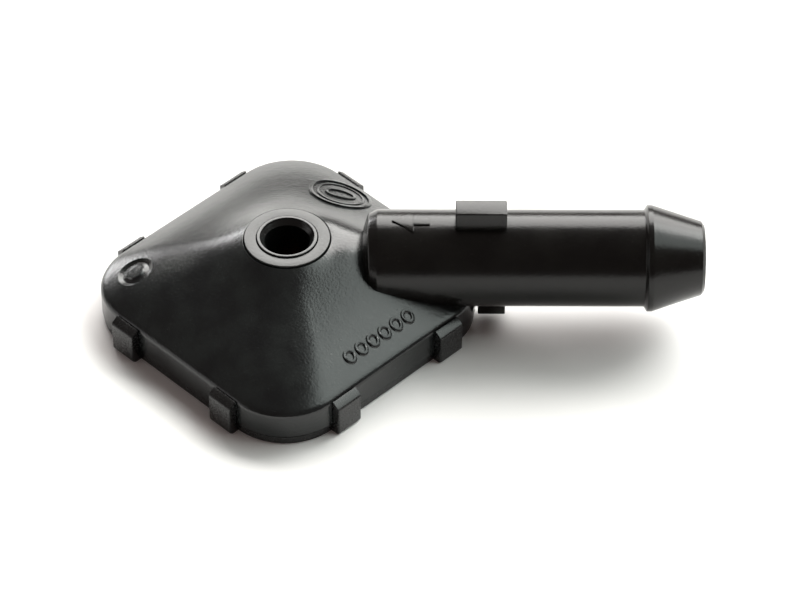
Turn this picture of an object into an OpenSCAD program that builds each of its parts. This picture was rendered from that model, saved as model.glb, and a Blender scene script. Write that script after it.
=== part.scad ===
// Square pressure-compensating drip emitter with a side inlet hose barb and a top outlet.
// Origin: middle of the body's underside. +X runs along the inlet tube to its barb tip.
// +Z is up through the outlet. The corners of the square body point along X and Y.

/* [Body] */
// Length of each side of the square body, wall to wall
body_side = 25.2; // [24.8:0.1:34]
// Radius of the body's vertical corners
corner_r = 5.5; // [3:0.5:7]
// Thickness of the base plate
base_t = 0.8; // [0.7:0.1:1.5]
// Height of the cover's vertical wall above the base plate
wall_h = 2.5; // [2.2:0.1:4]
// Height of the dome from the wall's top edge to the foot of the outlet boss
dome_h = 5.05; // [4.6:0.05:6.5]
// Thickness of the dome, measured upright
dome_t = 1.3; // [1:0.1:1.8]
// Outward bulge of the dome between its edge and the boss
dome_bulge = 0.35; // [0:0.05:0.8]
// Thickness of the cover's wall above the gasket
wall_t = 2.3; // [2.1:0.1:2.7]

/* [Inlet tube] */
// Outer diameter of the inlet tube
tube_d = 8; // [6.6:0.1:9.6]
// Height of the tube's underside above the gasket
tube_clear = 0.45; // [0.3:0.05:2]
// Gap from the labyrinth plate to the tube's closed end
tube_end_gap = 0.3; // [0.3:0.1:1.5]
// Edge radius of the tube's closed end
tube_end_r = 0.7; // [0.2:0.1:1]
// Distance from the stop blocks to the barb's crest
hose_len = 11.8; // [8:0.1:20]
// Height of the barb's crest above the tube
barb_h = 0.4; // [0.2:0.05:0.8]
// Length of the flat on the crest
barb_land = 0.4; // [0.2:0.1:1]
// Length of the cone from the crest to the tip
barb_cone = 4.3; // [3:0.1:6]
// Wall of the tip round the bore
tip_wall = 0.55; // [0.4:0.05:0.8]
// Bore of the hose end
inlet_bore_d = 4.8; // [4.6:0.1:5.2]
// Bore of the seat of the strainer's flange
strainer_seat_d = 4.1; // [4:0.1:4.2]
// Bore around the strainer's basket
strainer_bore_d = 3.6; // [3.2:0.1:3.7]
// Depth of the hose bore, from the tip to the strainer's seat
inlet_bore_depth = 13.5; // [10:0.1:17]
// How far the upper stop block reaches over the body's corner
stop_over = 1.74; // [0:0.02:3]
// Length of the stop blocks along the tube
stop_len = 4.2; // [2:0.1:6]
// Width of the stop blocks
stop_w = 1.8; // [1:0.1:3]
// Height of the stop blocks above the tube
stop_h = 1.6; // [0.8:0.1:1.8]
// Diameter of the port from the tube down into the body
transfer_d = 3; // [2:0.1:3.4]

/* [Outlet] */
// Outer diameter of the outlet tube
outlet_d = 5; // [4:0.1:6]
// Wall of the outlet tube
outlet_wall = 0.64; // [0.4:0.02:0.8]
// Width of the gland collar's ring
collar_w = 1.05; // [0.8:0.05:1.4]
// Height of the outlet boss above the dome
boss_h = 0.15; // [0.1:0.05:1]
// Thickness of the wall of the boss around the collar
boss_t = 0.35; // [0.3:0.05:0.8]
// Height of the outlet tube above the boss
outlet_lip = 0.12; // [0.1:0.02:1]

/* [Regulator] */
// Diameter of the diaphragm
diaphragm_d = 9.8; // [8.6:0.1:9.8]
// Thickness of the diaphragm
diaphragm_t = 1; // [0.7:0.1:1.2]
// Gap between the resting diaphragm and the outlet's seat
seat_gap = 0.35; // [0.3:0.05:0.5]
// Outer diameter of the chamber ring and of the labyrinth plate
chamber_d = 11.9; // [11.9:0.1:12.8]
// Thickness of the labyrinth plate
plate_t = 1.5; // [1.3:0.1:2]
// Depth of the meander channel
channel_depth = 0.8; // [0.4:0.1:0.9]
// Number of meander teeth
tooth_count = 20; // [14:2:24]

/* [Snap fingers] */
// Distance of each finger from the middle of its side
finger_offset = 5.85; // [5:0.05:7]
// Width of each finger
finger_w = 2.5; // [2:0.1:3]
// How far the fingers stand out of the wall
finger_out = 0.75; // [0.4:0.05:1.2]

/* [Raised marks] */
// Height of the raised marks
mark_h = 0.16; // [0.1:0.02:0.3]
// Length of the flow arrow
arrow_len = 3.1; // [2:0.1:4]
// Width of the flow arrow's head
arrow_w = 2.3; // [1.4:0.1:3]
// Length of the oval pad
pad_len = 5.3; // [4:0.1:6]
// Width of the oval pad
pad_w = 5.2; // [3:0.1:5.3]
// Number of rings in the row of flow marks
ring_count = 6; // [3:1:6]
// Outer diameter of each flow mark
ring_d = 1.15; // [0.8:0.05:1.3]
// Diameter of the gate dimple
dimple_d = 3; // [2:0.1:3.4]

/* [Hidden] */
$fn = 64;
// Points on each circle inside a hull
hull_fn = 32;
// Small overlap that makes cuts clean
eps = 0.01;
// Narrow steps at the dome's lower edge and round the foot of the boss
dome_inset = 0.06;
dome_foot = 0.05;

// Clearances
slide_gap = 0.05;
finger_gap = 0.12;
gasket_gap = 0.1;
seat_rest_gap = 0.02;
chamber_gap = 0.3;
seal_gap = 0.1;
stop_gap = 0.2;

// Heights of the body
rim_z = base_t + wall_h;
dome_top_z = rim_z + dome_h;
port_z = dome_top_z + boss_h;
half_side = body_side / 2;
collar_d = outlet_d + 2 * collar_w;
boss_r = collar_d / 2 + slide_gap + boss_t;
// Distance from the centre to the tip of each rounded corner
corner_x = half_side * sqrt(2) - corner_r * (sqrt(2) - 1);

// The dome runs from the rounded square through one middle level to the circle of the boss
mid_share = 0.44;
mid_half = half_side - (half_side - boss_r) * mid_share + dome_bulge;
mid_z = rim_z + dome_h * mid_share;
mid_corner_r = corner_r - (corner_r - boss_r) * mid_share;
inner_half = half_side - wall_t;
inner_corner_r = max(corner_r - wall_t, 0.5);
// Height of the dome's outer face above the lower of its two slopes, at a distance from the centre
function low_slope_z(half) = rim_z + (mid_z - rim_z) * (half_side - half) / (half_side - mid_half);
low_slope_angle = atan((mid_z - rim_z) / (half_side - mid_half));
mean_slope_angle = (low_slope_angle + atan((dome_top_z - mid_z) / (mid_half - boss_r))) / 2;
// Cavity below the gasket ledge, and the gasket in it
gasket_h = 1;
gasket_w = 1.1;
gasket_wall = 1.3;
gasket_side = body_side - 2 * (gasket_wall + gasket_gap);
gasket_corner_r = corner_r - gasket_wall - gasket_gap;
gasket_top_z = base_t + gasket_h;

// Stack under the outlet, from the base plate up
rib_h = 0.5;
diaphragm_z = base_t + rib_h + seat_rest_gap;
seat_z = base_t + rib_h + diaphragm_t + seat_gap;
plate_z = seat_z + 0.15;
plate_top_z = plate_z + plate_t;
flange_t = 0.5;
flange_r = outlet_d / 2 + 0.65;
lid_t = 1.2;
// The chamber ring stands round the diaphragm
chamber_r = chamber_d / 2;
chamber_bore_r = diaphragm_d / 2 + chamber_gap;
// The O-ring lies on a step in the boss, below the collar
o_ring_minor = (collar_d - outlet_d) / 4 - seal_gap / 4;
o_ring_major = (collar_d + 2 * slide_gap + outlet_d) / 4;
step_z = port_z - 2.6;
collar_z = step_z + 2 * o_ring_minor + 2 * seal_gap;
outlet_top_z = port_z + outlet_lip;

// Inlet tube and barb
tube_r = tube_d / 2;
tube_z = gasket_top_z + tube_clear + tube_r;
tube_end_x = chamber_r + tube_end_gap;
stop_x = corner_x - stop_over;
stop_end_x = stop_x + stop_len;
barb_x = stop_end_x + hose_len;
barb_d = tube_d + 2 * barb_h;
barb_back = 0.25;
barb_front_x = barb_x + barb_land / 2;
tip_d = inlet_bore_d + 2 * tip_wall;
tip_x = barb_front_x + barb_cone;
tip_edge = 0.3;
strainer_flange_t = 0.7;
strainer_recess = 0.1;
seat_x = tip_x - inlet_bore_depth;
shoulder_x = seat_x - strainer_flange_t - strainer_recess;
blind_x = tube_end_x + 1.4;
transfer_x = blind_x + transfer_d / 2 + 0.1;
// Strainer in the tube
strainer_gap = 0.15;
strainer_r = strainer_bore_d / 2 - strainer_gap;
strainer_start_x = blind_x + 1.2;
strainer_wall = 0.5;
mesh_t = 0.15;

// Snap fingers: the hook that catches over a ledge in the wall, and the sloped top
hook_in = 0.45;
hook_z = gasket_top_z;
hook_face = 0.3;
hook_h = 0.8;
hook_gap = 0.02;
finger_root = 1;
ramp_out = 0.15;
ramp_drop = 0.5;
foot_chamfer = 0.2;

module rounded_square(side, r) {
  square([side, side - 2 * r], center = true);
  square([side - 2 * r, side], center = true);
  for (x = [-1, 1], y = [-1, 1]) translate([x * (side / 2 - r), y * (side / 2 - r)]) circle(r);
}

// A flat layer of the body's outline, with its corners on the axes
module body_layer(side, r, z, h) {
  translate([0, 0, z]) linear_extrude(h) rotate(45) rounded_square(side, r);
}

module thin_layer(half, r, z) {
  body_layer(2 * half, r, z, eps, $fn = hull_fn);
}

// Solid dome in two slopes, from the edge level through the middle level to a circle
module dome(edge_half, edge_r, edge_z, drop, top_r) {
  hull() {
    thin_layer(edge_half - dome_inset, edge_r - dome_inset, edge_z);
    thin_layer(mid_half, mid_corner_r, mid_z - drop);
  }
  hull() {
    thin_layer(mid_half, mid_corner_r, mid_z - drop);
    translate([0, 0, dome_top_z - drop]) cylinder(r = top_r, h = eps, $fn = 2 * hull_fn);
  }
}

module shell() {
  difference() {
    union() {
      body_layer(body_side, corner_r, base_t, wall_h);
      dome(half_side, corner_r, rim_z - eps, 0, boss_r + dome_foot);
    }
    inner_z = low_slope_z(inner_half) - dome_t;
    body_layer(2 * inner_half, inner_corner_r, base_t - eps, inner_z - base_t + 2 * eps);
    dome(inner_half, inner_corner_r, inner_z, dome_t, boss_r - dome_t / 3);
  }
}

// Places a child at each of the eight snap fingers, with +X pointing out of the wall
module at_fingers() {
  for (side = [0:3], place = [-1, 1])
    rotate(45 + 90 * side) translate([half_side, place * finger_offset, 0]) children();
}

// Extrudes an outline drawn in the plane of the wall's normal and the height
module finger_slice(width) {
  translate([0, width / 2, 0]) rotate([90, 0, 0]) linear_extrude(width) children();
}

module finger() {
  finger_slice(finger_w)
    polygon([[-finger_root, 0], [finger_out - foot_chamfer, 0], [finger_out, foot_chamfer],
             [finger_out, rim_z - ramp_drop], [ramp_out, rim_z], [slide_gap, rim_z],
             [slide_gap, hook_z + hook_h], [-hook_in, hook_z + hook_face], [-hook_in, hook_z],
             [slide_gap, hook_z], [slide_gap, base_t], [-finger_root, base_t]]);
}

// Window in the wall for the hook
module finger_pocket() {
  finger_slice(finger_w + 2 * finger_gap)
    polygon([[-hook_in - finger_gap, hook_z - hook_gap], [1, hook_z - hook_gap],
             [1, hook_z + hook_h + finger_gap], [slide_gap, hook_z + hook_h + finger_gap],
             [-hook_in - finger_gap, hook_z + hook_face + finger_gap]]);
}

// Turns a solid of revolution drawn round Z to lie along the inlet tube
module along_tube() {
  translate([0, 0, tube_z]) rotate([0, 90, 0]) children();
}

module inlet_tube() {
  end_arc = [for (a = [0:15:90]) [tube_r - tube_end_r + tube_end_r * sin(a),
                                  tube_end_x + tube_end_r - tube_end_r * cos(a)]];
  along_tube() rotate_extrude()
    polygon(concat([[0, tube_end_x]], end_arc,
                   [[tube_r, barb_x - barb_land / 2 - barb_back],
                    [barb_d / 2, barb_x - barb_land / 2],
                    [barb_d / 2, barb_front_x],
                    [tip_d / 2, tip_x - tip_edge],
                    [tip_d / 2 - tip_edge, tip_x],
                    [0, tip_x]]));
  translate([stop_x, -stop_w / 2, tube_z]) cube([stop_len, stop_w, tube_r + stop_h]);
  // The lower block starts just outside the base plate
  translate([corner_x + stop_gap, -stop_w / 2, tube_z - tube_r - stop_h])
    cube([stop_end_x - corner_x - stop_gap, stop_w, tube_r + stop_h]);
}

module inlet_bore() {
  along_tube() translate([0, 0, seat_x]) cylinder(d = inlet_bore_d, h = inlet_bore_depth + 1);
  along_tube() translate([0, 0, shoulder_x]) cylinder(d = strainer_seat_d, h = seat_x - shoulder_x + eps);
  along_tube() translate([0, 0, blind_x]) cylinder(d = strainer_bore_d, h = shoulder_x - blind_x + eps);
  translate([transfer_x, 0, gasket_top_z]) cylinder(d = transfer_d, h = tube_z - gasket_top_z);
}

// Boss, its core and the disc that closes the labyrinth
module outlet_core() {
  translate([0, 0, plate_top_z]) cylinder(r = chamber_r, h = lid_t);
  translate([0, 0, plate_top_z]) cylinder(r = boss_r, h = port_z - plate_top_z);
}

module outlet_hole() {
  cylinder(r = outlet_d / 2 + slide_gap, h = port_z + 1);
  translate([0, 0, plate_top_z - 1]) cylinder(r = flange_r + slide_gap, h = 1 + flange_t + slide_gap);
  translate([0, 0, step_z]) cylinder(r = collar_d / 2 + slide_gap, h = port_z);
}

// Arrow on the crest of the tube, pointing towards the body
module flow_arrow() {
  arrow_gap = 2.35;
  head = 0.58 * arrow_len;
  tail_w = 0.4 * arrow_w;
  translate([tube_end_x + arrow_gap, 0, tube_z]) linear_extrude(tube_r + mark_h)
    polygon([[0, 0], [head, arrow_w / 2], [head, tail_w / 2], [arrow_len, tail_w / 2],
             [arrow_len, -tail_w / 2], [head, -tail_w / 2], [head, -arrow_w / 2]]);
}

// Places a child on one side of the dome, tilted by an angle, with +X up the slope
module on_slope(turn, half, shift, angle) {
  rotate(turn) translate([half, shift, low_slope_z(half)]) rotate([0, angle, 0])
    rotate(180) children();
}

module oval_pad() {
  pad_half = half_side - 3.2;
  pad_shift = 3.1;
  bar = pad_len - pad_w;
  on_slope(45, pad_half, pad_shift, mean_slope_angle) rotate(-45)
    translate([0, 0, -0.5]) linear_extrude(0.5 + mark_h)
    union() {
      square([bar, pad_w], center = true);
      for (x = [-1, 1]) translate([x * bar / 2, 0]) circle(d = pad_w);
    }
}

module ring_row() {
  ring_half = half_side - 1.85;
  ring_step = 1.32;
  for (i = [0:ring_count - 1])
    on_slope(-45, ring_half, (i - (ring_count - 1) / 2) * ring_step, low_slope_angle)
      translate([0, 0, -0.3]) cylinder(d = ring_d, h = 0.3 + mark_h, $fn = 24);
}

module gate_dimple() {
  dimple_ball = 4;
  rise = sqrt(pow(dimple_ball, 2) - pow(dimple_d / 2, 2));
  translate([-corner_x + 2.9, 0, rim_z + 1.25 + rise]) rotate([90, 0, 0]) sphere(dimple_ball);
}

module cover() {
  color([0.07, 0.075, 0.075])
    difference() {
      union() {
        shell();
        outlet_core();
        inlet_tube();
        flow_arrow();
        oval_pad();
        ring_row();
      }
      body_layer(body_side - 2 * gasket_wall, corner_r - gasket_wall, base_t - 1, 1 + gasket_h);
      outlet_hole();
      inlet_bore();
      at_fingers() finger_pocket();
      gate_dimple();
    }
}

module base() {
  slot_w = 1.6;
  rib_w = 0.8;
  edge_inset = 0.1;
  color([0.08, 0.085, 0.085])
    union() {
      body_layer(body_side - 2 * edge_inset, corner_r - edge_inset, 0, base_t);
      at_fingers() finger();
      // Ring round the diaphragm, open at four slots so that line pressure reaches its underside
      difference() {
        translate([0, 0, base_t - eps]) cylinder(r = chamber_r, h = plate_z - base_t + eps);
        translate([0, 0, base_t]) cylinder(r = chamber_bore_r, h = plate_z);
        for (turn = [0, 90])
          rotate(turn) translate([-chamber_r - 1, -slot_w / 2, base_t])
            cube([2 * chamber_r + 2, slot_w, rib_h]);
      }
      // Ribs that hold the resting diaphragm off the plate
      for (turn = [0:60:300])
        rotate(turn + 30) translate([1.5, -rib_w / 2, base_t - eps]) cube([3, rib_w, rib_h + eps]);
    }
}

module outlet_tube() {
  color([0.05, 0.05, 0.055])
    difference() {
      union() {
        translate([0, 0, seat_z]) cylinder(d = outlet_d, h = outlet_top_z - seat_z);
        translate([0, 0, plate_top_z]) cylinder(r = flange_r, h = flange_t);
      }
      translate([0, 0, seat_z - 1]) cylinder(r = outlet_d / 2 - outlet_wall, h = outlet_top_z - seat_z + 2);
    }
}

module gland_collar() {
  color([0.1, 0.105, 0.105])
    difference() {
      translate([0, 0, collar_z]) cylinder(d = collar_d, h = port_z - collar_z);
      translate([0, 0, collar_z - 1]) cylinder(r = outlet_d / 2 + slide_gap, h = port_z);
    }
}

module outlet_o_ring() {
  color([0.03, 0.03, 0.03])
    translate([0, 0, step_z + o_ring_minor + seal_gap]) rotate_extrude()
      translate([o_ring_major, 0]) circle(o_ring_minor, $fn = 24);
}

// Plate with a ring-shaped meander channel in its top, fed at the rim and drained at its far end
module labyrinth_plate() {
  rim_w = 0.7;
  channel_out_r = chamber_r - rim_w;
  channel_in_r = flange_r + 0.35;
  channel_w = channel_out_r - channel_in_r;
  tooth_w = 0.35;
  tooth_len = 0.62 * channel_w;
  tooth_turn = 360 / (tooth_count + 1);
  drain_d = 0.8;
  color([0.75, 0.74, 0.7])
    difference() {
      translate([0, 0, plate_z]) cylinder(r = chamber_r, h = plate_t);
      translate([0, 0, plate_z - 1]) cylinder(r = outlet_d / 2 + slide_gap, h = plate_t + 2);
      difference() {
        translate([0, 0, plate_top_z - channel_depth]) cylinder(r = channel_out_r, h = channel_depth + 1);
        translate([0, 0, plate_z]) cylinder(r = channel_in_r, h = plate_t + 2);
        // Solid wall between the two ends of the meander
        translate([channel_in_r - 0.5, -tooth_w, plate_z]) cube([channel_w + 1, 2 * tooth_w, plate_t]);
        for (i = [1:tooth_count])
          rotate(i * tooth_turn)
            translate([i % 2 == 0 ? channel_in_r - 0.3 : channel_out_r - tooth_len, -tooth_w / 2, plate_z])
              cube([tooth_len + 0.3, tooth_w, plate_t]);
      }
      // Inlet notch through the rim and drain hole down to the chamber
      rotate(tooth_turn / 2) translate([channel_out_r - 0.3, -0.3, plate_top_z - channel_depth])
        cube([rim_w + 1, 0.6, channel_depth + 1]);
      rotate(-tooth_turn / 2) translate([channel_in_r + drain_d, 0, plate_z - 1])
        cylinder(d = drain_d, h = plate_t + 2, $fn = 24);
    }
}

module diaphragm() {
  color([0.72, 0.3, 0.2])
    translate([0, 0, diaphragm_z]) cylinder(d = diaphragm_d, h = diaphragm_t);
}

module rim_gasket() {
  color([0.2, 0.2, 0.2])
    difference() {
      body_layer(gasket_side, gasket_corner_r, base_t, gasket_h);
      body_layer(gasket_side - 2 * gasket_w, gasket_corner_r - gasket_w, base_t - 1, gasket_h + 2);
    }
}

// Finger strainer: flange on the shoulder of the bore, end cap, and four bars between them
module strainer_frame() {
  bar_w = 0.7;
  flange_bore_r = strainer_r - strainer_wall;
  color([0.8, 0.8, 0.76])
    along_tube() {
      difference() {
        union() {
          translate([0, 0, shoulder_x])
            cylinder(r = strainer_seat_d / 2 - slide_gap, h = strainer_flange_t);
          translate([0, 0, shoulder_x - 1]) cylinder(r = strainer_r, h = 1 + eps);
        }
        translate([0, 0, shoulder_x - 2]) cylinder(r = flange_bore_r, h = 4);
      }
      translate([0, 0, strainer_start_x]) cylinder(r = strainer_r, h = 0.8);
      intersection() {
        difference() {
          translate([0, 0, strainer_start_x]) cylinder(r = strainer_r, h = shoulder_x - strainer_start_x);
          translate([0, 0, strainer_start_x]) cylinder(r = flange_bore_r, h = shoulder_x);
        }
        for (turn = [0, 90])
          rotate(turn + 45) translate([-5, -bar_w / 2, strainer_start_x])
            cube([10, bar_w, shoulder_x - strainer_start_x]);
      }
    }
}

// Mesh sleeve inside the strainer's bars
module strainer_mesh() {
  sleeve_r = strainer_r - strainer_wall;
  sleeve_z = strainer_start_x + 0.8;
  color([0.85, 0.85, 0.8])
    along_tube()
      difference() {
        translate([0, 0, sleeve_z]) cylinder(r = sleeve_r, h = shoulder_x - sleeve_z);
        translate([0, 0, sleeve_z - 1]) cylinder(r = sleeve_r - mesh_t, h = shoulder_x);
      }
}

cover();
base();
outlet_tube();
gland_collar();
outlet_o_ring();
labyrinth_plate();
diaphragm();
rim_gasket();
strainer_frame();
strainer_mesh();
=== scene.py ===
# %% [markdown]
# # A square drip emitter
#
# The emitter is a small black moulding: a domed square body with a hose barb on one side and an
# open outlet on top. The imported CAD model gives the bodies, and this script makes the surfaces
# that are seen. Lengths in the modelling cells are in millimetres, and each finished piece is
# scaled to metres at the end.

# %% Load the frame
from math import atan2, cos, exp, hypot, pi, radians, sin, sqrt, tan
import bmesh
import bpy
from mathutils import Matrix, Vector


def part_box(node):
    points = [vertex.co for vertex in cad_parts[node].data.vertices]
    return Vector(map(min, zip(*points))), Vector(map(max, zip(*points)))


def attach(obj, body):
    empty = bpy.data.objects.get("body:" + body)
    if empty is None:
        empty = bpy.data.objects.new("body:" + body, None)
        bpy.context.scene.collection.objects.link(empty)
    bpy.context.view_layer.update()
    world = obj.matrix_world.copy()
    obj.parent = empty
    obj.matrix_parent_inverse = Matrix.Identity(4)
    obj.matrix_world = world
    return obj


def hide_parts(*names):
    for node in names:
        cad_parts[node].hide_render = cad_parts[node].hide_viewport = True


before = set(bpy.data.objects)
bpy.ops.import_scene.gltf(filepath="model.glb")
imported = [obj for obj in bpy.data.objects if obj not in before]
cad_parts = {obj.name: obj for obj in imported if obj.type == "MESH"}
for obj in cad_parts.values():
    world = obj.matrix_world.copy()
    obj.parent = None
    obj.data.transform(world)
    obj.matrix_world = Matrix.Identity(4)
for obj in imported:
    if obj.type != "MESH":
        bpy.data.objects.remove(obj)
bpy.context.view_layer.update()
MM = 0.001
BODY = "housing"

# %% [markdown]
# ## Camera
#
# A short lens close by would swell the near corner of so small a part. A long lens from 34 cm away
# keeps the body's far edges almost as large as its near ones. The camera aims a little to the right
# of the body, so that the hose barb fits in.

# %% Camera
CAMERA_ELEVATION = radians(43.47)
CAMERA_TURN = radians(-0.19)
CAMERA_DISTANCE = 0.3396
CAMERA_LENS = 183.6
AIM = Vector((0.00927, 0, 0.00143))

forward = Vector((sin(CAMERA_TURN) * cos(CAMERA_ELEVATION),
                  cos(CAMERA_TURN) * cos(CAMERA_ELEVATION),
                  -sin(CAMERA_ELEVATION)))
lens = bpy.data.cameras.new("camera")
lens.lens = CAMERA_LENS
lens.clip_start = 0.01
lens.clip_end = 20
camera = bpy.data.objects.new("camera", lens)
bpy.context.collection.objects.link(camera)
camera.location = AIM - forward * CAMERA_DISTANCE
camera.rotation_euler = forward.to_track_quat("-Z", "Y").to_euler()
bpy.context.scene.camera = camera
print("camera at", [round(value, 4) for value in camera.location])

# %% [markdown]
# ## Shader maths
#
# Moulded plastic needs a few layers of noise. Written as node trees these are long, so one class
# wraps a socket and lets ordinary operators add Math nodes. A second class holds a material and
# makes all its other nodes with one method.

# %% Numbers that change over a surface
class Field:
    """A number that changes over a surface, with operators that add Math nodes."""

    def __init__(self, finish, socket):
        self.finish = finish
        self.socket = socket

    def maths(self, operation, *values):
        settings = {"operation": operation}
        return self.finish.node("ShaderNodeMath", settings, dict(enumerate(values)))

    def __add__(self, other):
        return self.maths("ADD", self, other)

    def __mul__(self, other):
        return self.maths("MULTIPLY", self, other)

    def __sub__(self, other):
        return self.maths("SUBTRACT", self, other)

    def __rsub__(self, other):
        return self.maths("SUBTRACT", other, self)

    __radd__ = __add__
    __rmul__ = __mul__

    def between(self, low, high):
        """A soft step from 0 to 1 while the number goes from low to high."""
        settings = {"interpolation_type": "SMOOTHSTEP"}
        values = {"Value": self, "From Min": low, "From Max": high}
        return self.finish.node("ShaderNodeMapRange", settings, values, "Result")


print("operators: +, - and *")

# %% A material and its nodes
MIX_SHARE, MIX_DARK, MIX_LIGHT = 0, 6, 7
MIX_RESULT = 2


class Finish:
    """One material. Its node method adds any node, sets it up and returns one of its outputs."""

    def __init__(self, name):
        self.material = bpy.data.materials.new(name)
        self.material.use_nodes = True
        self.nodes = self.material.node_tree.nodes
        self.shader = self.nodes["Principled BSDF"]
        self.place = self.node("ShaderNodeTexCoord", {}, {}, "Object")

    def plug(self, socket, value):
        if isinstance(value, Field):
            self.material.node_tree.links.new(value.socket, socket)
        else:
            socket.default_value = value

    def node(self, kind, settings, values, output=0):
        made = self.nodes.new(kind)
        for name, setting in settings.items():
            setattr(made, name, setting)
        for name, value in values.items():
            self.plug(made.inputs[name], value)
        return Field(self, made.outputs[output])

    def noise(self, size_mm, detail, roughness, stretch=None):
        """Noise from 0 to 1 with cells about size_mm wide, narrower along a stretched axis."""
        place = self.place
        if stretch:
            place = self.node("ShaderNodeMapping", {}, {"Vector": self.place, "Scale": stretch})
        values = {"Vector": place, "Scale": 1 / (size_mm * MM), "Detail": detail,
                  "Roughness": roughness}
        return self.node("ShaderNodeTexNoise", {}, values)

    def colour(self, share, dark, light):
        """A mix of two colours."""
        values = {MIX_SHARE: share, MIX_DARK: (*dark, 1), MIX_LIGHT: (*light, 1)}
        return self.node("ShaderNodeMix", {"data_type": "RGBA"}, values, MIX_RESULT)

    def relief(self, height, depth_mm):
        """Bumps whose full height is depth_mm."""
        values = {"Height": height, "Distance": depth_mm * MM}
        return self.node("ShaderNodeBump", {}, values)

    def surface(self, **values):
        """Sets or connects inputs of the shader and gives the material back."""
        for name, value in values.items():
            self.plug(self.shader.inputs[name.replace("_", " ")], value)
        return self.material


print("shader helpers ready")

# %% [markdown]
# ## Finishes
#
# The body is black polypropylene from a lightly worn steel mould. It has a fine grain, soft cloudy
# changes in gloss where the plastic filled the mould, and hair-fine scratches from handling in bulk
# bags. The same recipe with other numbers gives the smoother tube, the base, the outlet and the
# pale plastics inside.

# %% Moulded plastic
CLOUD_MM = 2.6
RIPPLE_MM = 0.9
SCRATCH_MM = 1.6
DUST_MM = 0.16


def moulded_plastic(name, dark, light, gloss, grain_mm=0.19, grain_depth=0.018,
                    scratch_axis=(1, 14, 6), ior=1.5):
    """Black or pale moulded plastic. gloss is its lowest and highest roughness."""
    finish = Finish(name)
    clouds = finish.noise(CLOUD_MM, 3.0, 0.55)
    grain = finish.noise(grain_mm, 2.0, 0.6)
    ripple = finish.noise(RIPPLE_MM, 2.0, 0.5)
    scratches = finish.noise(SCRATCH_MM, 3.0, 0.7, scratch_axis).between(0.62, 0.72)
    dust = finish.noise(DUST_MM, 1.0, 0.5).between(0.74, 0.8)
    low, high = gloss
    roughness = clouds * (high - low) + low + grain * 0.12 - 0.06 + scratches * 0.04 + dust * 0.15
    height = grain + ripple * 0.5 - scratches * 0.06
    tint = clouds.between(0.3, 0.7) * 0.7 + dust * 0.25
    finish.surface(Base_Color=finish.colour(tint, dark, light), Roughness=roughness,
                   Normal=finish.relief(height, grain_depth), IOR=ior)
    return finish.material


cover_plastic = moulded_plastic("cover_plastic", (0.0048, 0.0058, 0.0062),
                                (0.011, 0.0135, 0.013), (0.17, 0.27))
tube_plastic = moulded_plastic("tube_plastic", (0.0035, 0.0032, 0.003), (0.007, 0.0068, 0.006),
                               (0.17, 0.26), grain_depth=0.01, scratch_axis=(8, 1, 3), ior=1.37)
base_plastic = moulded_plastic("base_plastic", (0.006, 0.0062, 0.0062),
                               (0.012, 0.0125, 0.0125), (0.22, 0.32), grain_depth=0.003)
outlet_plastic = moulded_plastic("outlet_plastic", (0.003, 0.0033, 0.0032),
                                 (0.007, 0.008, 0.0075), (0.18, 0.28))
collar_plastic = moulded_plastic("collar_plastic", (0.006, 0.0068, 0.0062),
                                 (0.013, 0.0145, 0.0135), (0.26, 0.38))
acetal = moulded_plastic("natural_acetal", (0.62, 0.6, 0.52), (0.78, 0.76, 0.68), (0.3, 0.42),
                         grain_mm=0.12, grain_depth=0.002)
nylon = moulded_plastic("strainer_nylon", (0.66, 0.64, 0.55), (0.8, 0.78, 0.7), (0.32, 0.45),
                        grain_mm=0.12, grain_depth=0.002)
print("plastics:", len(bpy.data.materials))

# %% [markdown]
# Rubber and silicone scatter light more softly than the plastics: they are duller, with a faint
# bloom on the surface. The strainer's sleeve is woven, so two crossed waves lift its threads, and
# the holes between them are painted darker as painted shade.

# %% Rubber and woven mesh
BLOOM_MM = 1.4
RUBBER_GRAIN_MM = 0.06
RUBBER_GRAIN_DEPTH = 0.004
THREAD_DEPTH = 0.05
HOLE_SHADE = 0.25


def moulded_rubber(name, dark, light, gloss):
    """Rubber or silicone. gloss is its lowest and highest roughness."""
    finish = Finish(name)
    bloom = finish.noise(BLOOM_MM, 4.0, 0.6)
    grain = finish.noise(RUBBER_GRAIN_MM, 2.0, 0.6)
    low, high = gloss
    finish.surface(Base_Color=finish.colour(bloom.between(0.35, 0.75), dark, light),
                   Roughness=bloom * (high - low) + low,
                   Normal=finish.relief(grain, RUBBER_GRAIN_DEPTH), IOR=1.45)
    return finish.material


def woven_mesh(name, thread, pitch_mm):
    """Threads of one colour with holes painted darker as painted shade, about pitch_mm apart."""
    finish = Finish(name)
    settings = {"wave_type": "BANDS", "bands_direction": "X", "wave_profile": "SIN"}
    scale = pi / (10 * pitch_mm * MM)
    along = finish.node("ShaderNodeTexWave", settings, {"Vector": finish.place, "Scale": scale})
    settings = {**settings, "bands_direction": "DIAGONAL"}
    across = finish.node("ShaderNodeTexWave", settings, {"Vector": finish.place, "Scale": scale})
    weave = along.maths("MAXIMUM", along, across)
    # The holes take a darker copy of the thread colour: painted shade for the dark inside seen
    # through them.
    hole_painted_shade = tuple(HOLE_SHADE * channel for channel in thread)
    finish.surface(Base_Color=finish.colour(weave, hole_painted_shade, thread), Roughness=0.55 - weave * 0.1,
                   Normal=finish.relief(weave, THREAD_DEPTH))
    return finish.material


nitrile = moulded_rubber("nitrile", (0.008, 0.008, 0.008), (0.02, 0.02, 0.021), (0.5, 0.7))
silicone = moulded_rubber("silicone", (0.42, 0.1, 0.045), (0.55, 0.16, 0.08), (0.4, 0.55))
gasket_rubber = moulded_rubber("gasket_rubber", (0.02, 0.02, 0.021), (0.04, 0.04, 0.042),
                               (0.5, 0.7))
mesh_weave = woven_mesh("strainer_weave", (0.8, 0.8, 0.74), 0.18)
print("finishes:", len(bpy.data.materials))

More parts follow.
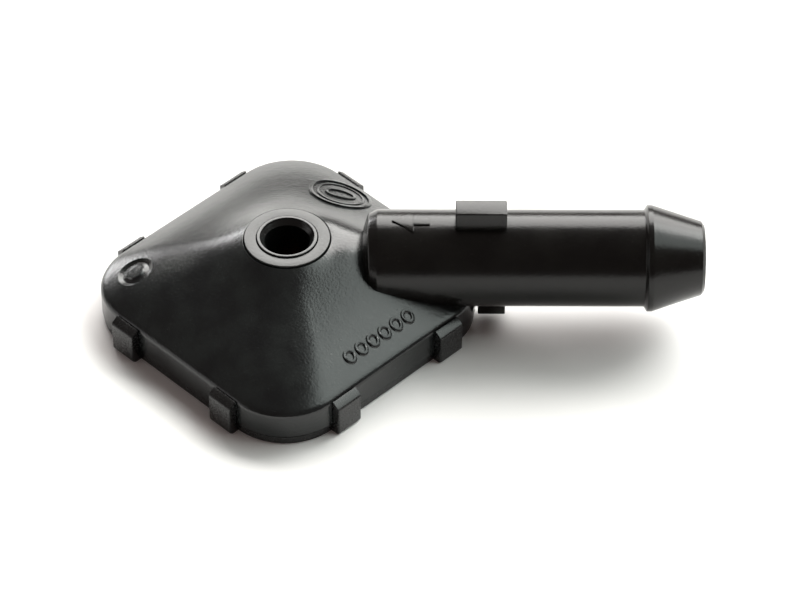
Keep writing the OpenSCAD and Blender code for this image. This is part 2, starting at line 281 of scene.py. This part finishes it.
# %% [markdown]
# ## Sizes
#
# These follow the CAD model. The body's outline is a square with rounded corners, turned so that
# its corners point along X and Y, and the dome runs from that outline up to the round port. On the
# tube's side a low saddle carries it across to the tube's closed end.

# %% Sizes of the body, in millimetres
base_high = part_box("base")[1]
collar_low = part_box("gland_collar")[0]
outlet_low, outlet_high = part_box("outlet_tube")

BODY_HALF = 12.6
CORNER_R = 5.5
CORNER_X = BODY_HALF * sqrt(2) - CORNER_R * (sqrt(2) - 1)
BASE_T = 0.8
RIM_Z = base_high[2] / MM
DOME_H = 5.05
DOME_WAVE = 0.16
SADDLE_H = 0.85
SADDLE_SPREAD = 0.7
SADDLE_LEAN = 2.2
BOSS_R = 3.68
BOSS_H = 0.15
DOME_TOP_Z = RIM_Z + DOME_H
PORT_Z = DOME_TOP_Z + BOSS_H


def outline(angle, half, corner):
    """Distance from the centre to a rounded square whose corners point along X and Y."""
    turned = (angle - pi / 4) % (pi / 2)
    turned = min(turned, pi / 2 - turned)
    if half * tan(turned) <= half - corner:
        return half / cos(turned)
    middle = half - corner
    along = middle * (cos(turned) + sin(turned))
    return along + sqrt(corner ** 2 - (2 * middle ** 2 - along ** 2))


def dome_rise(share):
    """Height above the dome's edge at a share of the way in, along a soft S."""
    return DOME_H * (share + DOME_WAVE / (2 * pi) * sin(2 * pi * share))


def saddle(share, angle):
    """Extra height that carries the dome across from the port to the end of the tube."""
    return SADDLE_H * exp(-(angle / SADDLE_SPREAD) ** 2) * sin(pi * share ** SADDLE_LEAN)


def dome_height(x, y):
    """Height of the dome over a point of the plan."""
    edge = outline(atan2(y, x), BODY_HALF, CORNER_R)
    share = min(max((edge - hypot(x, y)) / (edge - BOSS_R), 0), 1)
    return RIM_Z + dome_rise(share) + saddle(share, atan2(y, x))


print("body corner at", round(CORNER_X, 2), "mm, port at", PORT_Z, "mm")

# %% [markdown]
# ## Modelling helpers
#
# Three ways of making a shape cover most of the emitter. A loft grows a ring of edges level by
# level. A lathe spins a profile, whose corners are first rounded with small arcs. A block is a box
# with rounded edges. Solids are then welded together or cut away, and each piece gets its shading,
# its scale and its body.

# %% Lofts, lathes and blocks
MERGE = 0.0005


def loft(levels, segments):
    """A closed surface through ring-shaped levels: each gives radius and height for an angle."""
    bm = bmesh.new()
    verts = bmesh.ops.create_circle(bm, segments=segments, radius=1)["verts"]
    edges = list(bm.edges)
    first = edges
    for index, level in enumerate(levels):
        if index:
            grown = bmesh.ops.extrude_edge_only(bm, edges=edges)["geom"]
            verts = [item for item in grown if isinstance(item, bmesh.types.BMVert)]
            new = set(verts)
            edges = [item for item in grown
                     if isinstance(item, bmesh.types.BMEdge) and set(item.verts) <= new]
        for vert in verts:
            angle = atan2(vert.co.y, vert.co.x)
            radius, height = level(angle)
            vert.co = (radius * cos(angle), radius * sin(angle), height)
    bmesh.ops.bridge_loops(bm, edges=first + edges)
    return bm


def soften(points, radius, steps=4):
    """The same open outline with each corner between its ends replaced by a small arc."""
    soft = [points[0]]
    for before, corner, after in zip(points, points[1:], points[2:]):
        corner = Vector(corner)
        back, ahead = Vector(before) - corner, Vector(after) - corner
        half_turn = back.angle(ahead) / 2
        cut = min(radius / tan(half_turn), 0.45 * back.length, 0.45 * ahead.length)
        start, end = corner + back.normalized() * cut, corner + ahead.normalized() * cut
        for step in range(steps + 1):
            share = step / steps
            soft.append(tuple((1 - share) ** 2 * start + 2 * share * (1 - share) * corner
                              + share ** 2 * end))
    soft.append(points[-1])
    return soft


def lathe(profile, axis="Z", centre=(0, 0, 0), segments=96, closed=False):
    """Spins a profile of (radius, distance along the axis). A closed one ends where it starts."""
    bm = bmesh.new()
    verts = [bm.verts.new((radius, 0, along)) for radius, along in profile]
    edges = [bm.edges.new(pair) for pair in zip(verts, verts[1:])]
    if closed:
        edges.append(bm.edges.new((verts[-1], verts[0])))
    bmesh.ops.spin(bm, geom=verts + edges, cent=(0, 0, 0), axis=(0, 0, 1), angle=2 * pi,
                   steps=segments, use_merge=True)
    bmesh.ops.remove_doubles(bm, verts=bm.verts, dist=MERGE)
    if axis == "X":
        bmesh.ops.rotate(bm, cent=(0, 0, 0), matrix=Matrix.Rotation(pi / 2, 3, "Y"),
                         verts=bm.verts)
    bmesh.ops.translate(bm, vec=centre, verts=bm.verts)
    bmesh.ops.recalc_face_normals(bm, faces=bm.faces)
    return bm


def round_edges(bm, edges, width, segments):
    bmesh.ops.bevel(bm, geom=edges, offset=width, affect="EDGES", segments=segments, profile=0.5,
                    material=-1)


def block(low, high, bevel):
    """A box between two corners, with rounded edges."""
    bm = bmesh.new()
    size = [b - a for a, b in zip(low, high)]
    bmesh.ops.create_cube(bm, size=1)
    bmesh.ops.scale(bm, vec=size, verts=bm.verts)
    bmesh.ops.translate(bm, vec=[(a + b) / 2 for a, b in zip(low, high)], verts=bm.verts)
    round_edges(bm, list(bm.edges), bevel, 3)
    return bm


print("shapes: loft, lathe and block")


# %% Pieces and welds
def piece(bm, name, material, replaces=(), smooth_angle=32):
    """Turns a bmesh in millimetres into a finished object in metres that rides on the housing."""
    bmesh.ops.scale(bm, vec=(MM, MM, MM), verts=bm.verts)
    mesh = bpy.data.meshes.new(name)
    bm.to_mesh(mesh)
    bm.free()
    mesh.shade_smooth()
    mesh.set_sharp_from_angle(angle=radians(smooth_angle))
    made = bpy.data.objects.new(name, mesh)
    bpy.context.collection.objects.link(made)
    mesh.materials.append(material)
    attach(made, BODY)
    if replaces:
        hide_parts(*replaces)
    print(f"{name}: {len(mesh.polygons)} faces")
    return made


def weld(bm, other, operation="UNION"):
    """Joins another solid to this one, or cuts it away, and returns the result."""
    pair = []
    for part in (bm, other):
        bmesh.ops.recalc_face_normals(part, faces=part.faces)
        mesh = bpy.data.meshes.new("weld")
        part.to_mesh(mesh)
        part.free()
        pair.append(bpy.data.objects.new("weld", mesh))
        bpy.context.collection.objects.link(pair[-1])
    target, tool = pair
    change = target.modifiers.new("weld", "BOOLEAN")
    change.operation = operation
    change.solver = "EXACT"
    change.object = tool
    result = bmesh.new()
    result.from_object(target, bpy.context.evaluated_depsgraph_get())
    for made in pair:
        bpy.data.meshes.remove(made.data)
    return result


print("pieces ride on:", BODY)

# %% [markdown]
# ## Cover
#
# The cover is one moulding with the inlet tube. A bevelled box could be pulled into this shape, but
# a loft turns the rounded square into the round port with no crease on the way. Its levels start in
# the seat of the gland collar, go over its edge, down the dome and the wall, under the wall's edge
# and back up inside.

# %% Sizes of the shell
SEAT_R = 3.6
STEP_Z = PORT_Z - 2.6
EDGE = 0.08
RIM_R = 0.22
WALL = 1.3
FOOT_ROUND = 0.1
SEAM_Z = BASE_T + 0.02
INNER_WALL = 2.3
GASKET_TOP_Z = 1.8
ROOF_LOW_Z, ROOF_HIGH_Z = 3.3, 5.1
PLATE_TOP_Z = 4.3
CHAMBER_R = 5.95
FLANGE_R = 3.2
FLANGE_ROOM = 0.55
OUTLET_HOLE_R = 2.55
DOME_LEVELS = 30


def flat_ring(radius, height):
    return lambda angle: (radius, height)


def square_ring(half, corner, height):
    return lambda angle: (outline(angle, half, corner), height)


def dome_ring(share):
    def level(angle):
        edge = outline(angle, BODY_HALF, CORNER_R)
        return edge + (BOSS_R - edge) * share, RIM_Z + dome_rise(share) + saddle(share, angle)
    return level


def inner_ring(share):
    def level(angle):
        edge = outline(angle, BODY_HALF - INNER_WALL, CORNER_R - INNER_WALL)
        return edge + (CHAMBER_R - edge) * share, ROOF_LOW_Z + (ROOF_HIGH_Z - ROOF_LOW_Z) * share
    return level


print("roof inside:", ROOF_LOW_Z, "to", ROOF_HIGH_Z, "mm")

# %% Shell of the cover
rim_share = RIM_R / (BODY_HALF - BOSS_R)
levels = [flat_ring(SEAT_R, STEP_Z), flat_ring(SEAT_R, DOME_TOP_Z - EDGE),
          flat_ring(SEAT_R + 0.3 * EDGE, DOME_TOP_Z - 0.3 * EDGE)]
for index in range(DOME_LEVELS + 1):
    levels.append(dome_ring(1 + (rim_share - 1) * index / DOME_LEVELS))
levels += [square_ring(BODY_HALF - 0.3 * RIM_R, CORNER_R, RIM_Z - 0.05),
           square_ring(BODY_HALF, CORNER_R, RIM_Z - RIM_R),
           square_ring(BODY_HALF, CORNER_R, RIM_Z - RIM_R - 0.1),
           square_ring(BODY_HALF, CORNER_R, BASE_T + 0.12),
           square_ring(BODY_HALF - FOOT_ROUND, CORNER_R - FOOT_ROUND, SEAM_Z),
           square_ring(BODY_HALF - 0.3, CORNER_R - 0.3, SEAM_Z),
           square_ring(BODY_HALF - WALL, CORNER_R - WALL, SEAM_Z),
           square_ring(BODY_HALF - WALL, CORNER_R - WALL, GASKET_TOP_Z),
           square_ring(BODY_HALF - INNER_WALL, CORNER_R - INNER_WALL, GASKET_TOP_Z),
           inner_ring(0), inner_ring(0.5), inner_ring(1),
           flat_ring(CHAMBER_R, PLATE_TOP_Z), flat_ring(FLANGE_R, PLATE_TOP_Z),
           flat_ring(FLANGE_R, PLATE_TOP_Z + FLANGE_ROOM),
           flat_ring(OUTLET_HOLE_R, PLATE_TOP_Z + FLANGE_ROOM),
           flat_ring(OUTLET_HOLE_R, STEP_Z)]
shell = loft(levels, 256)
print("shell levels:", len(levels))

# %% [markdown]
# The tube is a lathe with its closed end over the body and a barb at the open end. The barb's back
# is short and steep to hold the hose, and its long cone lets the hose slide on. Inside, two steps
# in the bore hold the strainer. One profile makes the outside and the bore together, so the wall
# is closed by itself.

# %% Inlet tube
TUBE_R = 4.0
TUBE_Z = 6.25
TUBE_END_X = CHAMBER_R + 0.3
STOP_X = CORNER_X - 1.74
STOP_END_X = STOP_X + 4.2
BARB_X = STOP_END_X + 11.8
BARB_R = TUBE_R + 0.4
BARB_HALF_LAND = 0.2
CONE_LENGTH = 4.3
TIP_X = BARB_X + BARB_HALF_LAND + CONE_LENGTH
TIP_R = 2.95
BORE_R = 2.4
STRAINER_SEAT_R = 2.05
STRAINER_BORE_R = 1.8
SEAT_X = TIP_X - 13.5
SHOULDER_X = SEAT_X - 0.8
BLIND_X = TUBE_END_X + 1.4

tube_outside = soften([(0, TUBE_END_X), (TUBE_R - 1.5, TUBE_END_X),
                       (TUBE_R - 0.35, TUBE_END_X + 0.4), (TUBE_R, TUBE_END_X + 1.15),
                       (TUBE_R, BARB_X - 2)], 0.4, 6)
barb = soften([(TUBE_R, BARB_X - 1), (TUBE_R, BARB_X - 0.45), (BARB_R, BARB_X - BARB_HALF_LAND),
               (BARB_R, BARB_X + BARB_HALF_LAND), (TIP_R + 0.12, TIP_X - 0.25),
               (TIP_R - 0.2, TIP_X)], 0.09, 3)
bore = soften([(BORE_R + 0.08, TIP_X), (BORE_R, TIP_X - 0.15), (BORE_R, SEAT_X),
               (STRAINER_SEAT_R, SEAT_X), (STRAINER_SEAT_R, SHOULDER_X),
               (STRAINER_BORE_R, SHOULDER_X), (STRAINER_BORE_R, BLIND_X), (0, BLIND_X)], 0.03, 2)
tube = lathe(tube_outside + barb + bore, "X", (0, 0, TUBE_Z), 128)
print("tube from", TUBE_END_X, "to", round(TIP_X, 2), "mm")

# %% [markdown]
# Stop blocks above and below the tube end the hose's travel. The lower one starts outside the body.
# Their roots run into the tube, so that the weld leaves no gap under its curve.

# %% Stop blocks
STOP_HALF_W = 0.9
STOP_H = 1.6
STOP_ROOT = 2
STOP_GAP = 0.2
STOP_EDGE = 0.1

upper_stop = block((STOP_X, -STOP_HALF_W, TUBE_Z + STOP_ROOT),
                   (STOP_END_X, STOP_HALF_W, TUBE_Z + TUBE_R + STOP_H), STOP_EDGE)
lower_stop = block((CORNER_X + STOP_GAP, -STOP_HALF_W, TUBE_Z - TUBE_R - STOP_H),
                   (STOP_END_X, STOP_HALF_W, TUBE_Z - STOP_ROOT), STOP_EDGE)
print("hose stops at", round(STOP_END_X, 2), "mm")

# %% [markdown]
# Eight fingers of the base reach up outside the wall, two on each side, and their hooks sit in
# windows of the wall. Fingers and windows are both slices: an outline seen from the side, given a
# width and repeated round the body.

# %% Windows for the fingers
FINGER_OFFSET = 5.85
FINGER_W = 2.5
FINGER_GAP = 0.07
HOOK_IN = 0.45
HOOK_Z = GASKET_TOP_Z
WALL_GAP = 0.05
WINDOW_IN = HOOK_IN + 0.12
WINDOW_LOW_Z = HOOK_Z - 0.02
WINDOW_HIGH_Z = HOOK_Z + 0.92


def finger_places():
    """The turn and the sideways place of each of the eight fingers."""
    return [(radians(45 + 90 * side), place * FINGER_OFFSET)
            for side in range(4) for place in (-1, 1)]


def slice_solid(points, width):
    """A solid of a width from an outline of (distance out from the wall, height)."""
    bm = bmesh.new()
    face = bm.faces.new([bm.verts.new((out, -width / 2, height)) for out, height in points])
    grown = bmesh.ops.extrude_face_region(bm, geom=[face])["geom"]
    far = [item for item in grown if isinstance(item, bmesh.types.BMVert)]
    bmesh.ops.translate(bm, vec=(0, width, 0), verts=far)
    bmesh.ops.recalc_face_normals(bm, faces=bm.faces)
    return bm


def repeat_at_fingers(shape):
    """Eight copies of a bmesh, one at each finger, in one bmesh."""
    mesh = bpy.data.meshes.new("finger")
    shape.to_mesh(mesh)
    shape.free()
    many = bmesh.new()
    for turn, side in finger_places():
        before = set(many.verts)
        many.from_mesh(mesh)
        added = [vert for vert in many.verts if vert not in before]
        bmesh.ops.translate(many, vec=(BODY_HALF, side, 0), verts=added)
        bmesh.ops.rotate(many, cent=(0, 0, 0), matrix=Matrix.Rotation(turn, 3, "Z"),
                         verts=added)
    bpy.data.meshes.remove(mesh)
    return many


window = slice_solid([(-WINDOW_IN, WINDOW_LOW_Z), (1, WINDOW_LOW_Z), (1, WINDOW_HIGH_Z),
                      (WALL_GAP, WINDOW_HIGH_Z), (-WINDOW_IN, HOOK_Z + 0.42)],
                     FINGER_W + 2 * FINGER_GAP)
windows = repeat_at_fingers(window)
print("windows:", len(finger_places()))

# %% [markdown]
# The gate dimple on the ridge over the far corner is where the plastic entered the mould: a shallow
# dish with a small nub left in its middle. A lathe makes the cutter.

# %% Gate dimple
DIMPLE_X = -CORNER_X + 2.9
DIMPLE_R = 1.65
DIMPLE_DEPTH = 0.28
DIMPLE_SINK = 0.02
NUB_R = 0.7
NUB_TOP = 0.04
CUTTER_TOP = 1.2

dish = soften([(0, NUB_TOP), (NUB_R, NUB_TOP), (NUB_R + 0.12, -0.14),
               (1.2, -DIMPLE_DEPTH + 0.03), (DIMPLE_R - 0.05, -0.05),
               (DIMPLE_R + 0.1, CUTTER_TOP), (0, CUTTER_TOP)], 0.12, 4)
cutter = lathe(dish, segments=64)
ridge_slope = atan2(DOME_H, CORNER_X - BOSS_R)
bmesh.ops.rotate(cutter, cent=(0, 0, 0), matrix=Matrix.Rotation(-ridge_slope, 3, "Y"),
                 verts=cutter.verts)
bmesh.ops.translate(cutter, vec=(DIMPLE_X, 0, dome_height(DIMPLE_X, 0) - DIMPLE_SINK),
                    verts=cutter.verts)
print("gate dimple at", round(DIMPLE_X, 2), "mm")

# %% [markdown]
# The shell, tube and stop blocks are welded into one solid, and the windows and the dimple are cut
# from it. The tube mirrors a little less than the dome, so its faces take a second material.

# %% Weld the cover together
cover = weld(shell, tube)
cover = weld(cover, upper_stop)
cover = weld(cover, lower_stop)
cover = weld(cover, windows, "DIFFERENCE")
cover = weld(cover, cutter, "DIFFERENCE")
cover_shell = piece(cover, "cover_shell", cover_plastic, ["cover"])

# %% Tube's own finish
def on_tube(place):
    """Whether a place on the cover, in metres, is on the outside of the tube or a stop block."""
    x, y, z = place / MM
    past_end = x > TUBE_END_X - 0.05 and abs(y) < BARB_R + 0.1
    past_body = x > CORNER_X + 0.25
    return past_end and (past_body or z > dome_height(x, y) + 0.01)


cover_shell.data.materials.append(tube_plastic)
for polygon in cover_shell.data.polygons:
    polygon.material_index = int(on_tube(polygon.center))
print("tube faces:", sum(polygon.material_index for polygon in cover_shell.data.polygons))

# %% [markdown]
# ## Raised marks
#
# A maker cuts marks into the steel along the mould's opening direction, so on the part they stand
# up straight from the slope. Each mark is modelled flat and then draped: every point is lifted by
# the height of the surface under it. The oval pad and the row of rings stay plain.

# %% Making marks
MARK_H = 0.16
SINK = 0.12
MARK_EDGE = 0.04
SMOOTH_ANGLE = 40


def raised_ring(centre, squeeze, height, inner, outer, segments):
    """A flat-topped ring with cut edges, as a closed lathe squeezed to an oval across Y."""
    edge = min(MARK_EDGE, (outer - inner) / 4)
    profile = [(inner, -SINK), (inner, height - edge), (inner + edge, height),
               (outer - edge, height), (outer, height - edge), (outer, -SINK)]
    bm = lathe(profile, segments=segments, closed=True)
    bmesh.ops.scale(bm, vec=(1, squeeze, 1), verts=bm.verts)
    bmesh.ops.translate(bm, vec=(*centre, 0), verts=bm.verts)
    return bm


def drape(bm, height_at):
    """Lifts every point by the height of the surface under it."""
    for vert in bm.verts:
        vert.co.z += height_at(vert.co.x, vert.co.y)
    return bm


def join(parts):
    """Several bmeshes as one."""
    whole = bmesh.new()
    for part in parts:
        mesh = bpy.data.meshes.new("part")
        part.to_mesh(mesh)
        part.free()
        whole.from_mesh(mesh)
        bpy.data.meshes.remove(mesh)
    return whole


print("marks stand", MARK_H, "mm high")

# %% Oval pad and row of rings
PAD_PLACE = (4.25, 8.9)
PAD_R = 2.65
PAD_SQUEEZE = 0.98
pad_rings = [raised_ring(PAD_PLACE, PAD_SQUEEZE, MARK_H, PAD_R - 0.3, PAD_R, 96),
             raised_ring(PAD_PLACE, PAD_SQUEEZE, MARK_H * 0.6, PAD_R - 0.85, PAD_R - 0.62, 96),
             raised_ring(PAD_PLACE, 0.6, MARK_H * 0.8, 1.05, 1.3, 72)]
piece(drape(join(pad_rings), dome_height), "oval_pad", cover_plastic,
      smooth_angle=SMOOTH_ANGLE)

RING_COUNT = 6
RING_STEP = 1.32
RING_HALF = BODY_HALF - 1.85
RING_IN, RING_OUT = 0.3, 0.56
rings = []
for index in range(RING_COUNT):
    shift = (index - (RING_COUNT - 1) / 2) * RING_STEP
    centre = ((RING_HALF + shift) / sqrt(2), (-RING_HALF + shift) / sqrt(2))
    rings.append(raised_ring(centre, 1, MARK_H, RING_IN, RING_OUT, 32))
piece(drape(join(rings), dome_height), "flow_marks", cover_plastic,
      smooth_angle=SMOOTH_ANGLE)

# %% Flow arrow on the tube
ARROW_X = TUBE_END_X + 2.35
ARROW_LENGTH = 3.1
ARROW_EDGE = 0.05
HEAD_LENGTH = 1.8
HEAD_HALF = 1.15
SHAFT_HALF = 0.42


def tube_height(x, y):
    """Height of the tube's upper side. It's the same all along X."""
    return TUBE_Z + sqrt(TUBE_R ** 2 - y ** 2)


upper_half = [(HEAD_LENGTH, HEAD_HALF), (HEAD_LENGTH, SHAFT_HALF), (ARROW_LENGTH, SHAFT_HALF)]
lower_half = [(x, -y) for x, y in reversed(upper_half)]
arrow = bmesh.new()
face = arrow.faces.new([arrow.verts.new((ARROW_X + x, y, -SINK))
                        for x, y in [(0, 0), *upper_half, *lower_half]])
grown = bmesh.ops.extrude_face_region(arrow, geom=[face])["geom"]
top = [item for item in grown if isinstance(item, bmesh.types.BMVert)]
bmesh.ops.translate(arrow, vec=(0, 0, SINK + MARK_H), verts=top)
bmesh.ops.recalc_face_normals(arrow, faces=arrow.faces)
upper_edges = [edge for edge in arrow.edges if all(vert.co.z > 0 for vert in edge.verts)]
round_edges(arrow, upper_edges, ARROW_EDGE, 2)
piece(drape(arrow, tube_height), "flow_arrow", tube_plastic,
      smooth_angle=SMOOTH_ANGLE)

# %% [markdown]
# ## Base
#
# The base plate closes the body from below. Its eight fingers stand just outside the wall, as high
# as the rim, and each has a hook that points in and a top that slopes down and outward. Only their
# outer edges are rounded. Underneath, a shallow recess leaves a foot round the edge and a small
# ring in the middle.

# %% Fingers
FINGER_OUT = 0.75
FINGER_FOOT = 0.2
FINGER_EDGE = 0.14
RAMP_OUT = 0.15
RAMP_DROP = 0.5
HOOK_H = 0.8
HOOK_FACE = 0.3
ROOT_Z = BASE_T - 0.02

finger = slice_solid([(-1, 0), (FINGER_OUT - FINGER_FOOT, 0), (FINGER_OUT, FINGER_FOOT),
                      (FINGER_OUT, RIM_Z - RAMP_DROP), (RAMP_OUT, RIM_Z - 0.02),
                      (WALL_GAP, RIM_Z), (WALL_GAP, HOOK_Z + HOOK_H),
                      (-HOOK_IN, HOOK_Z + HOOK_FACE), (-HOOK_IN, HOOK_Z), (WALL_GAP, HOOK_Z),
                      (WALL_GAP, ROOT_Z), (-1, ROOT_Z)], FINGER_W)
outer_edges = [edge for edge in finger.edges if all(vert.co.x > 0.2 for vert in edge.verts)]
round_edges(finger, outer_edges, FINGER_EDGE, 4)
fingers = repeat_at_fingers(finger)
print("fingers reach", round(BODY_HALF + FINGER_OUT, 2), "mm from the centre")

# %% Base plate
PLATE_HALF = BODY_HALF - 0.1
PLATE_R = CORNER_R - 0.1
RECESS = 0.12
FOOT_EDGE = 0.12
UPPER_EDGE = 0.05
HOLE_HALF, HOLE_CORNER = 3, 0.5
MIDDLE_R = 5
CUP_R = 5.2
CUP_TOP_Z = 2.8
CUP_LOW_Z = BASE_T - 0.1

plate_levels = [square_ring(PLATE_HALF - FOOT_EDGE, PLATE_R, 0),
                square_ring(PLATE_HALF, PLATE_R, FOOT_EDGE),
                square_ring(PLATE_HALF, PLATE_R, BASE_T - UPPER_EDGE),
                square_ring(PLATE_HALF - UPPER_EDGE, PLATE_R, BASE_T),
                square_ring(HOLE_HALF, HOLE_CORNER, BASE_T),
                square_ring(HOLE_HALF, HOLE_CORNER, RECESS + 0.15),
                square_ring(HOLE_HALF, HOLE_CORNER, RECESS),
                square_ring(PLATE_HALF - 2.2, PLATE_R - 2, RECESS),
                square_ring(PLATE_HALF - 2, PLATE_R - 1.8, 0)]
plate = loft(plate_levels, 192)
middle = lathe(soften([(0, RECESS), (1.2, RECESS), (1.3, 0.02), (1.8, 0.02), (1.9, RECESS),
                       (MIDDLE_R, RECESS), (MIDDLE_R, BASE_T), (0, BASE_T)], 0.04, 2))
plate = weld(plate, middle)
plate = weld(plate, fingers)
cup = lathe([(CHAMBER_R, CUP_LOW_Z), (CHAMBER_R, CUP_TOP_Z), (CUP_R, CUP_TOP_Z),
             (CUP_R, CUP_LOW_Z)], closed=True)
plate = weld(plate, cup)
piece(plate, "base_plate", base_plastic, ["base"])

# %% [markdown]
# ## Outlet
#
# The outlet tube and the gland collar round it make the two rings that show on top. Both are lathes
# with small rounded edges, and the gaps between them stay open as dark lines.

# %% Outlet tube
OUTLET_TOP = outlet_high[2] / MM
OUTLET_LOW = outlet_low[2] / MM
OUTLET_R = 2.5
OUTLET_BORE_R = 1.86
LIP_R = 2.24
LIP_DEPTH = 0.5
FLANGE_EDGE_R = FLANGE_R - 0.05
FLANGE_TOP_Z = PLATE_TOP_Z + 0.5

outlet_profile = soften([(OUTLET_BORE_R, 5), (OUTLET_BORE_R, OUTLET_TOP - LIP_DEPTH),
                         (LIP_R - 0.06, OUTLET_TOP - 0.14), (LIP_R, OUTLET_TOP),
                         (OUTLET_R, OUTLET_TOP), (OUTLET_R, FLANGE_TOP_Z),
                         (FLANGE_EDGE_R, FLANGE_TOP_Z), (FLANGE_EDGE_R, PLATE_TOP_Z),
                         (OUTLET_R, PLATE_TOP_Z), (OUTLET_R, OUTLET_LOW),
                         (OUTLET_BORE_R, OUTLET_LOW), (OUTLET_BORE_R, 4.9)], 0.07)
piece(lathe(outlet_profile, closed=True), "outlet_spout", outlet_plastic,
      ["outlet_tube"])

# %% Gland collar
COLLAR_R = 3.53
COLLAR_LOW = collar_low[2] / MM

collar_profile = soften([(OUTLET_HOLE_R, COLLAR_LOW + 0.5), (OUTLET_HOLE_R, PORT_Z),
                         (COLLAR_R, PORT_Z), (COLLAR_R, COLLAR_LOW),
                         (OUTLET_HOLE_R, COLLAR_LOW), (OUTLET_HOLE_R, COLLAR_LOW + 0.4)], 0.06)
piece(lathe(collar_profile, closed=True), "port_collar", collar_plastic,
      ["gland_collar"])

# %% [markdown]
# ## Inner pieces
#
# The regulator and the strainer are sealed inside. Their CAD solids are right as they are, so they
# only get their finishes.

# %% Finishes for the inner pieces
INNER = {"outlet_o_ring": nitrile, "labyrinth_plate": acetal, "diaphragm": silicone,
         "rim_gasket": gasket_rubber, "strainer_frame": nylon, "strainer_mesh": mesh_weave}
for node, material in INNER.items():
    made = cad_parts[node]
    made.data.materials.clear()
    made.data.materials.append(material)
print("inner pieces finished:", len(INNER))

# %% [markdown]
# ## Floor and light
#
# Black plastic shows only what it mirrors. A wide window behind the part gives the far slopes and
# the tube's upper side their bright bands, a weaker one high on the right gives the front right
# face its grey, and a small strip and a dim card on the left mark the left ridge and wall. The room
# is otherwise dark and a little warm, so the front left face stays black.

# %% Floor
FLOOR_HALF = 3
floor_mesh = bpy.data.meshes.new("floor")
floor_bm = bmesh.new()
bmesh.ops.create_grid(floor_bm, x_segments=1, y_segments=1, size=FLOOR_HALF)
floor_bm.to_mesh(floor_mesh)
floor_bm.free()
floor = bpy.data.objects.new("floor", floor_mesh)
bpy.context.collection.objects.link(floor)
floor_finish = Finish("floor_paper")
floor_finish.surface(Base_Color=(0.9, 0.89, 0.885, 1), Roughness=0.9)
floor_mesh.materials.append(floor_finish.material)
print("floor:", 2 * FLOOR_HALF, "m across")

# %% Lights
LIGHT_DISTANCE = 1.0


def soft_light(name, direction, size, power, colour=(1, 1, 1)):
    """A rectangle of light, wide and high in metres, that faces the part from a direction."""
    data = bpy.data.lights.new(name, "AREA")
    data.shape = "RECTANGLE"
    data.size, data.size_y = size
    data.energy = power
    data.color = colour
    light = bpy.data.objects.new(name, data)
    bpy.context.collection.objects.link(light)
    toward = Vector(direction).normalized()
    light.location = toward * LIGHT_DISTANCE
    light.rotation_euler = (-toward).to_track_quat("-Z", "Y").to_euler()


soft_light("window", (0.25, 0.74, 0.62), (1.55, 0.7), 31, (1, 0.99, 0.96))
soft_light("sky_window", (0.62, 0.2, 0.77), (0.9, 0.66), 6, (0.9, 1, 0.96))
soft_light("left_strip", (-0.55, 0.816, 0.174), (0.26, 0.24), 2.2)
soft_light("left_card", (-0.98, -0.1, 0.17), (0.8, 0.36), 0.9)

world = bpy.data.worlds.new("room")
world.use_nodes = True
background = world.node_tree.nodes["Background"]
background.inputs["Color"].default_value = (1, 0.82, 0.77, 1)
background.inputs["Strength"].default_value = 0.15
bpy.context.scene.world = world
bpy.context.scene.view_settings.view_transform = "Standard"
